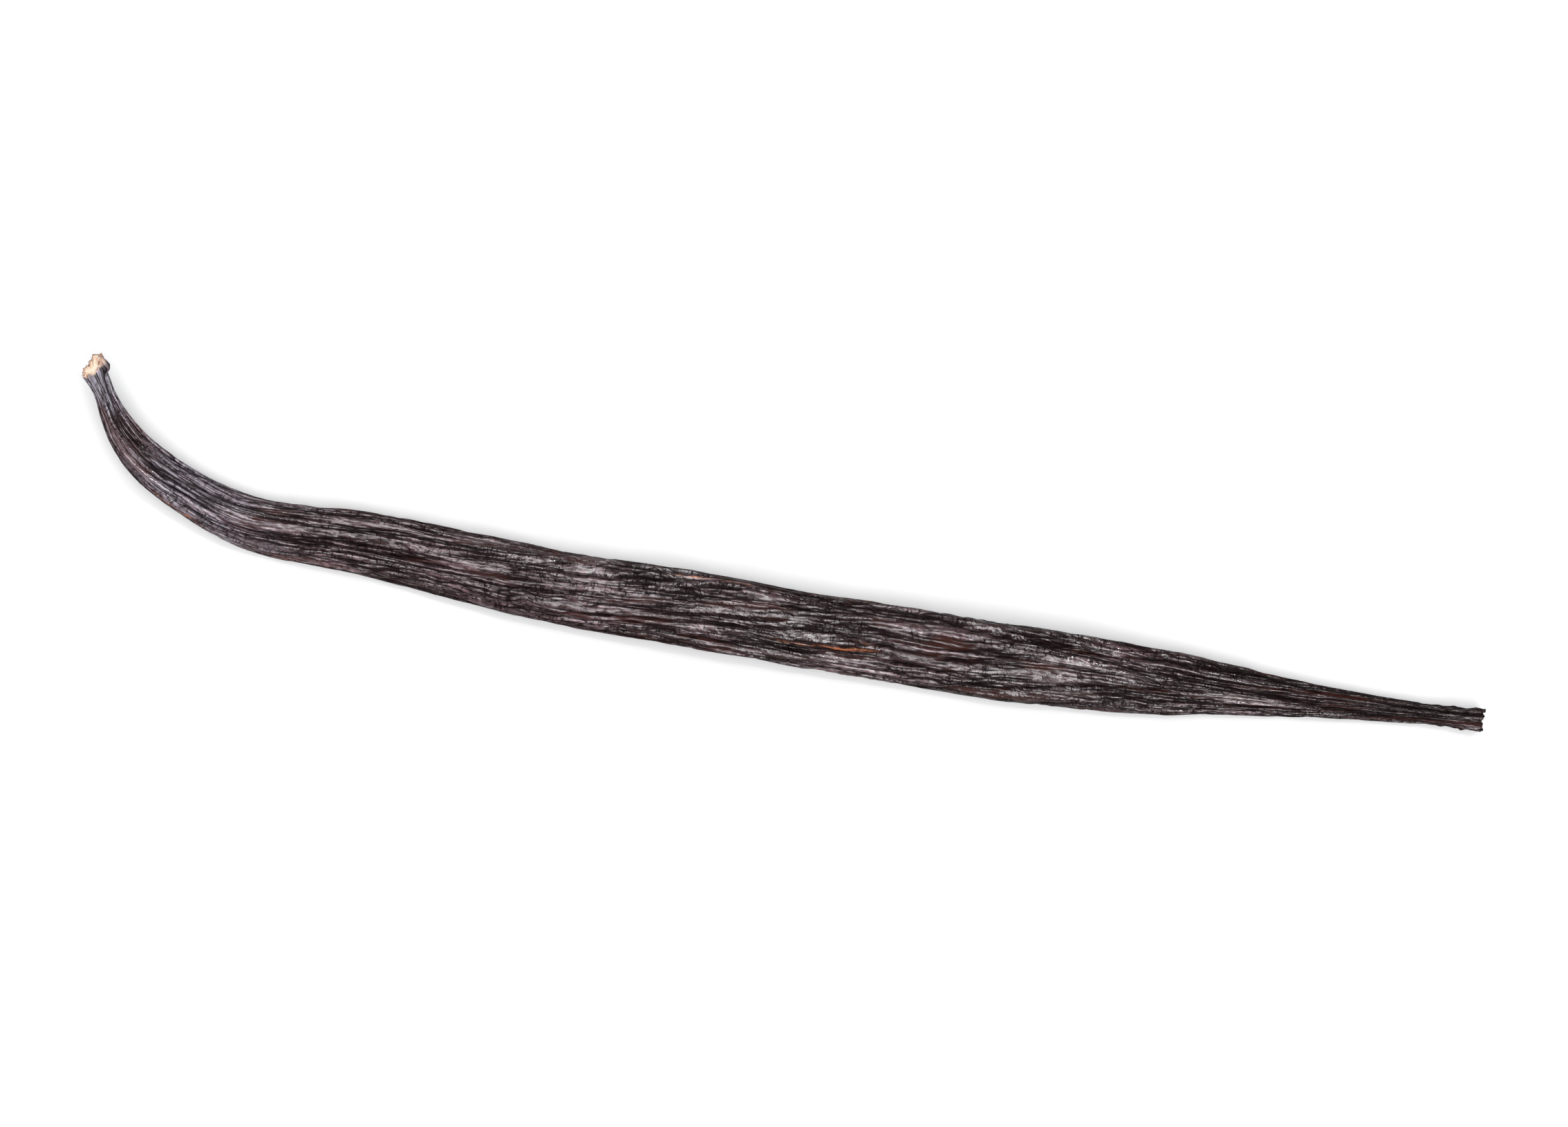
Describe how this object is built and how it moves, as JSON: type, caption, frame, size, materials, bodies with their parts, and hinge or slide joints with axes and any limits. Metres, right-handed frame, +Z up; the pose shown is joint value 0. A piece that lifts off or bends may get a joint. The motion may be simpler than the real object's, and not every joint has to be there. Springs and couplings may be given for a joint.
{
  "type": "vanilla pod",
  "caption": "Cured vanilla pod lying down: a long, flattened, wrinkled dark fruit with a hooked cut stem and a thin flared blossom end.",
  "frame": {"origin": "middle of the pod's bounding box, on the surface it lies on", "axes": "+X along the belly from the stem to the blossom end, +Y to the side that the stem hooks to, +Z up"},
  "size_m": [0.1552, 0.0216, 0.0086],
  "materials": {
    "cured_skin": "oily, leathery, finely wrinkled along its length, semi-gloss; tan on the cut stem"
  },
  "bodies": {
    "root": {"vanilla_pod": "cured_skin"}
  },
  "joints": []
}
